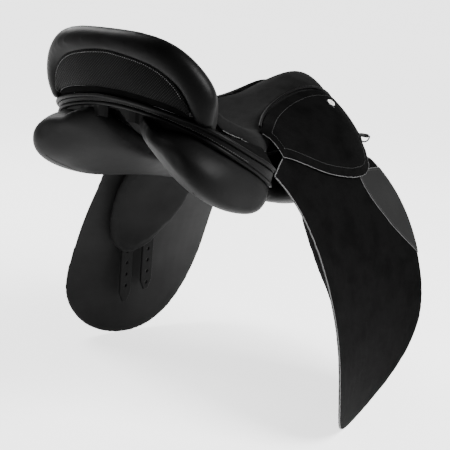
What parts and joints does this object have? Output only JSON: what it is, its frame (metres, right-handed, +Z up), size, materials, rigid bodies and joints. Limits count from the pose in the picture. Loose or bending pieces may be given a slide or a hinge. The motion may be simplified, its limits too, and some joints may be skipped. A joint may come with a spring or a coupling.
{
  "type": "english saddle",
  "caption": "English dressage saddle with a deep padded seat, high cantle roll, single long flap each side, small skirts, padded panels and girth straps under the flaps.",
  "frame": {"origin": "on the mid-plane between the two panels, at the height at which they bear on the horse's back, below the seat", "axes": "+X towards the horse's head (pommel), +Y to the horse's left side, +Z up"},
  "size_m": [0.4866, 0.5486, 0.5259],
  "materials": {
    "badge_bezel": "polished rim",
    "badge": "pale enamel",
    "billet_front": "smooth strap leather",
    "billet_rear": "smooth strap leather",
    "billet_webs": "woven nylon webbing",
    "cantle_band": "smooth",
    "cantle_board": "laminated beech",
    "cantle_inset": "basket-weave embossed",
    "cantle_plate": "pressed steel",
    "cantle_roll": "smooth, semi-gloss, padded",
    "dee_ring": "steel wire",
    "dee_tab": "smooth",
    "flap": "buffed, matt",
    "gullet_lining": "smooth",
    "gullet_plate": "pressed steel",
    "head_rivets": "steel",
    "knee_patch": "smooth, semi-gloss",
    "panel": "smooth, semi-gloss, wool flocked",
    "panel_lobe": "smooth, semi-gloss",
    "pommel_facing": "smooth",
    "rail_facing": "smooth with a stitched line",
    "rail_welt_lower": "smooth piping",
    "rail_welt_upper": "smooth piping",
    "seat_cover": "buffed, matt",
    "seat_foam": "foam",
    "seat_web_cross": "woven webbing",
    "seat_web_long": "woven webbing",
    "side_piece": "buffed, matt",
    "skirt": "buffed, matt",
    "skirt_top": "buffed, matt",
    "skirt_welt": "smooth piping",
    "spring_strip": "blued spring steel",
    "stirrup_bar": "forged steel",
    "stirrup_catch": "forged steel",
    "tree": "laminated beech, varnished"
  },
  "bodies": {
    "seat_and_tree": {"badge_bezel_left": "badge_bezel", "badge_bezel_right": "badge_bezel", "badge_left": "badge", "badge_right": "badge", "billet_webs_left": "billet_webs", "billet_webs_right": "billet_webs", "cantle_band": "cantle_band", "cantle_board": "cantle_board", "cantle_inset": "cantle_inset", "cantle_plate": "cantle_plate", "cantle_roll": "cantle_roll", "dee_tab_left": "dee_tab", "dee_tab_right": "dee_tab", "gullet_lining": "gullet_lining", "gullet_plate": "gullet_plate", "head_rivets": "head_rivets", "panel_left": "panel", "panel_lobe_left": "panel_lobe", "panel_lobe_right": "panel_lobe", "panel_right": "panel", "pommel_facing": "pommel_facing", "rail_facing": "rail_facing", "rail_welt_lower": "rail_welt_lower", "rail_welt_upper": "rail_welt_upper", "seat_cover": "seat_cover", "seat_foam": "seat_foam", "seat_web_cross": "seat_web_cross", "seat_web_long": "seat_web_long", "side_piece_left": "side_piece", "side_piece_right": "side_piece", "skirt_top_left": "skirt_top", "skirt_top_right": "skirt_top", "skirt_welt_left": "skirt_welt", "skirt_welt_right": "skirt_welt", "spring_strip_left": "spring_strip", "spring_strip_right": "spring_strip", "stirrup_bar_left": "stirrup_bar", "stirrup_bar_right": "stirrup_bar", "tree": "tree"},
    "flap_left": {"flap_left": "flap", "knee_patch_left": "knee_patch"},
    "skirt_left": {"skirt_left": "skirt"},
    "billet_front_left": {"billet_front_left": "billet_front"},
    "billet_rear_left": {"billet_rear_left": "billet_rear"},
    "dee_ring_left": {"dee_ring_left": "dee_ring"},
    "stirrup_catch_left": {"stirrup_catch_left": "stirrup_catch"},
    "flap_right": {"flap_right": "flap", "knee_patch_right": "knee_patch"},
    "skirt_right": {"skirt_right": "skirt"},
    "billet_front_right": {"billet_front_right": "billet_front"},
    "billet_rear_right": {"billet_rear_right": "billet_rear"},
    "dee_ring_right": {"dee_ring_right": "dee_ring"},
    "stirrup_catch_right": {"stirrup_catch_right": "stirrup_catch"}
  },
  "joints": [
    {"name": "flap_hinge_left", "type": "hinge", "parent": "seat_and_tree", "child": "flap_left", "pos_m": [0, 0.114, 0.075], "axis": [1, 0, 0], "range_deg": [0, 55]},
    {"name": "skirt_hinge_left", "type": "hinge", "parent": "flap_left", "child": "skirt_left", "pos_m": [0.051, 0.114, 0.075], "axis": [1, 0, 0], "range_deg": [0, 50]},
    {"name": "billet_front_swing_left", "type": "hinge", "parent": "seat_and_tree", "child": "billet_front_left", "pos_m": [0.04, 0.21867, -0.153], "axis": [1, 0, 0], "range_deg": [-1.5, 5]},
    {"name": "billet_rear_swing_left", "type": "hinge", "parent": "seat_and_tree", "child": "billet_rear_left", "pos_m": [-0.003, 0.22457, -0.153], "axis": [1, 0, 0], "range_deg": [-1.5, 5]},
    {"name": "dee_swing_left", "type": "hinge", "parent": "seat_and_tree", "child": "dee_ring_left", "pos_m": [0.186, 0.094, 0.054], "axis": [0, 1, 0], "range_deg": [-75, 30]},
    {"name": "catch_pivot_left", "type": "hinge", "parent": "seat_and_tree", "child": "stirrup_catch_left", "pos_m": [-0.031, 0.09792, 0.06905], "axis": [0, 0.6293, 0.7771], "range_deg": [0, 80]},
    {"name": "flap_hinge_right", "type": "hinge", "parent": "seat_and_tree", "child": "flap_right", "pos_m": [0, -0.114, 0.075], "axis": [-1, 0, 0], "range_deg": [0, 55]},
    {"name": "skirt_hinge_right", "type": "hinge", "parent": "flap_right", "child": "skirt_right", "pos_m": [0.051, -0.114, 0.075], "axis": [-1, 0, 0], "range_deg": [0, 50]},
    {"name": "billet_front_swing_right", "type": "hinge", "parent": "seat_and_tree", "child": "billet_front_right", "pos_m": [0.04, -0.21867, -0.153], "axis": [-1, 0, 0], "range_deg": [-1.5, 5]},
    {"name": "billet_rear_swing_right", "type": "hinge", "parent": "seat_and_tree", "child": "billet_rear_right", "pos_m": [-0.003, -0.22457, -0.153], "axis": [-1, 0, 0], "range_deg": [-1.5, 5]},
    {"name": "dee_swing_right", "type": "hinge", "parent": "seat_and_tree", "child": "dee_ring_right", "pos_m": [0.186, -0.094, 0.054], "axis": [0, 1, 0], "range_deg": [-75, 30]},
    {"name": "catch_pivot_right", "type": "hinge", "parent": "seat_and_tree", "child": "stirrup_catch_right", "pos_m": [-0.031, -0.09792, 0.06905], "axis": [0, -0.6293, 0.7771], "range_deg": [-80, 0]}
  ]
}
